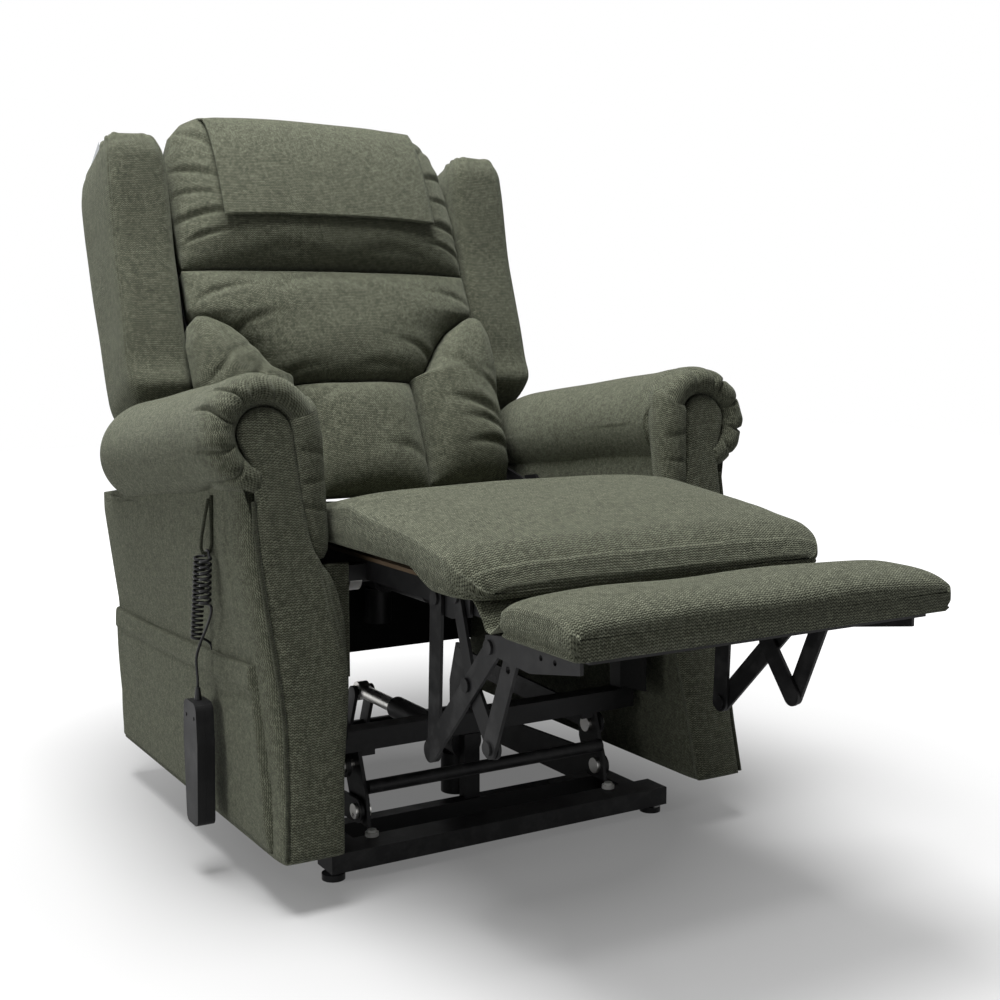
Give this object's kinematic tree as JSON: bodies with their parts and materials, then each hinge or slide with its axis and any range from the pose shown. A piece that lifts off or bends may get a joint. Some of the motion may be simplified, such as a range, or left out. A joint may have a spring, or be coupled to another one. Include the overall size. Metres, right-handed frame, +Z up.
{
  "type": "lift recliner chair",
  "caption": "Powered lift recliner chair with rolled arms, wings, padded back and raised footrest on black scissor links, with a corded handset.",
  "frame": {"origin": "floor level, at the centre of the chair's box", "axes": "+Z up, the sitter faces -Y, +X is the sitter's left"},
  "size_m": [0.818, 1.2914, 1.0345],
  "materials": {
    "black_steel": "satin black powder coat",
    "board": "satin black",
    "zinc": "zinc plated",
    "spring_steel": "dull",
    "feet": "matte",
    "nylon": "white nylon",
    "motor_plastic": "fine texture",
    "upholstery": "dark olive-green coarse weave",
    "lining": "black cambric",
    "wood_runner": "raw",
    "handset": "fine texture",
    "keys": "matte",
    "cord": "smooth",
    "card": "blank white card"
  },
  "bodies": {
    "base": {"base_frame": "black_steel", "levelling_feet": "feet", "bump_stops": "nylon", "lift_motor": "motor_plastic"},
    "lower_arms": {"lower_lift_arms": "black_steel"},
    "upper_arms": {"upper_lift_arms": "black_steel"},
    "lift_rod": {"lift_motor_rod": "zinc"},
    "chassis": {"chassis_frame": "black_steel", "lift_pivot_bolts": "zinc", "control_box": "motor_plastic", "legrest_motor": "motor_plastic", "recline_motor": "motor_plastic", "dust_lining": "lining", "front_fillers": "upholstery", "arm_left_body": "upholstery", "arm_left_roll": "upholstery", "arm_left_ring": "upholstery", "arm_left_front": "upholstery", "arm_right_body": "upholstery", "arm_right_roll": "upholstery", "arm_right_ring": "upholstery", "arm_right_front": "upholstery", "side_pocket": "upholstery", "cord_loop": "upholstery", "handset_front": "handset", "handset_back": "handset", "handset_screws": "handset", "strain_relief": "cord", "cord_plain": "cord", "cord_curls": "cord"},
    "seat": {"seat_frame": "black_steel", "seat_runners": "wood_runner", "seat_springs": "spring_steel", "seat_cushion": "upholstery", "legrest_motor_rod": "zinc", "bridging_flap": "upholstery"},
    "front_link": {"front_links": "black_steel"},
    "rear_link": {"rear_links": "black_steel"},
    "upper_link": {"upper_links": "black_steel"},
    "lower_link": {"lower_links": "black_steel"},
    "footrest": {"footrest_board": "board", "footrest_cushion": "upholstery"},
    "back": {"back_frame": "black_steel", "outside_back": "upholstery", "head_pillow": "upholstery", "head_cover": "upholstery", "upper_bolster": "upholstery", "lower_centre_panel": "upholstery", "side_bolsters": "upholstery", "wing_left": "upholstery", "wing_right": "upholstery", "swing_tag": "card"},
    "recline_rod": {"recline_rod": "zinc"},
    "key_recline_up": {"button_recline_up": "keys"},
    "key_recline_down": {"button_recline_down": "keys"},
    "key_lift_up": {"button_lift_up": "keys"},
    "key_lift_down": {"button_lift_down": "keys"}
  },
  "joints": [
    {"name": "lift", "type": "hinge", "parent": "base", "child": "lower_arms", "pos_m": [0, 0.3533, 0.048], "axis": [-1, 0, 0], "range_deg": [0, 44]},
    {"name": "chassis_tilt", "type": "hinge", "parent": "lower_arms", "child": "chassis", "pos_m": [0, -0.0647, 0.066], "axis": [1, 0, 0], "range_deg": [-0.2, 68.3]},
    {"name": "upper_arm_swing", "type": "hinge", "parent": "base", "child": "upper_arms", "pos_m": [0, 0.3613, 0.14], "axis": [-1, 0, 0], "range_deg": [-0.2, 45.6]},
    {"name": "lift_rod_travel", "type": "slide", "parent": "base", "child": "lift_rod", "axis": [0, 1, 0], "range_m": [-0.0003, 0.0529]},
    {"name": "seat_glide", "type": "slide", "parent": "chassis", "child": "seat", "axis": [0, 1, 0], "range_m": [0, 0.14]},
    {"name": "front_link_swing", "type": "hinge", "parent": "seat", "child": "front_link", "pos_m": [0, -0.3607, 0.399], "axis": [1, 0, 0], "range_deg": [-0.2, 69.46], "deforming": ["bridging_flap"]},
    {"name": "rear_link_swing", "type": "hinge", "parent": "seat", "child": "rear_link", "pos_m": [0, -0.3147, 0.39], "axis": [1, 0, 0], "range_deg": [-0.2, 55.36]},
    {"name": "upper_link_swing", "type": "hinge", "parent": "front_link", "child": "upper_link", "pos_m": [0, -0.3927, 0.307], "axis": [1, 0, 0], "range_deg": [-39.42, 0.2]},
    {"name": "lower_link_swing", "type": "hinge", "parent": "front_link", "child": "lower_link", "pos_m": [0, -0.4387, 0.248], "axis": [1, 0, 0], "range_deg": [-21.39, 0.2]},
    {"name": "footrest_fold", "type": "hinge", "parent": "upper_link", "child": "footrest", "pos_m": [0, -0.4497, 0.36], "axis": [1, 0, 0], "range_deg": [-0.2, 60.16]},
    {"name": "recline", "type": "hinge", "parent": "chassis", "child": "back", "pos_m": [0, 0.2373, 0.44], "axis": [1, 0, 0], "range_deg": [-10, 15]},
    {"name": "recline_rod_travel", "type": "slide", "parent": "chassis", "child": "recline_rod", "axis": [0, 1, 0], "range_m": [-0.02106, 0.03144]},
    {"name": "press_recline_up", "type": "slide", "parent": "chassis", "child": "key_recline_up", "axis": [-1, 0, 0], "range_m": [0, 0.0015], "stiffness_N_per_m": 400, "springref_m": -0.0008},
    {"name": "press_recline_down", "type": "slide", "parent": "chassis", "child": "key_recline_down", "axis": [-1, 0, 0], "range_m": [0, 0.0015], "stiffness_N_per_m": 400, "springref_m": -0.0008},
    {"name": "press_lift_up", "type": "slide", "parent": "chassis", "child": "key_lift_up", "axis": [-1, 0, 0], "range_m": [0, 0.0015], "stiffness_N_per_m": 400, "springref_m": -0.0008},
    {"name": "press_lift_down", "type": "slide", "parent": "chassis", "child": "key_lift_down", "axis": [-1, 0, 0], "range_m": [0, 0.0015], "stiffness_N_per_m": 400, "springref_m": -0.0008}
  ],
  "couplings": [
    {"joint": "chassis_tilt", "follows": "lift", "ratio": 1.5455},
    {"joint": "upper_arm_swing", "follows": "lift", "ratio": 1.0295},
    {"joint": "lift_rod_travel", "follows": "lift", "m_per_rad": 0.068286},
    {"joint": "front_link_swing", "follows": "seat_glide", "rad_per_m": 8.6344},
    {"joint": "rear_link_swing", "follows": "seat_glide", "rad_per_m": 6.8766},
    {"joint": "upper_link_swing", "follows": "seat_glide", "rad_per_m": -4.8894},
    {"joint": "lower_link_swing", "follows": "seat_glide", "rad_per_m": -2.6417},
    {"joint": "footrest_fold", "follows": "seat_glide", "rad_per_m": 7.475},
    {"joint": "recline_rod_travel", "follows": "recline", "m_per_rad": 0.11894}
  ]
}
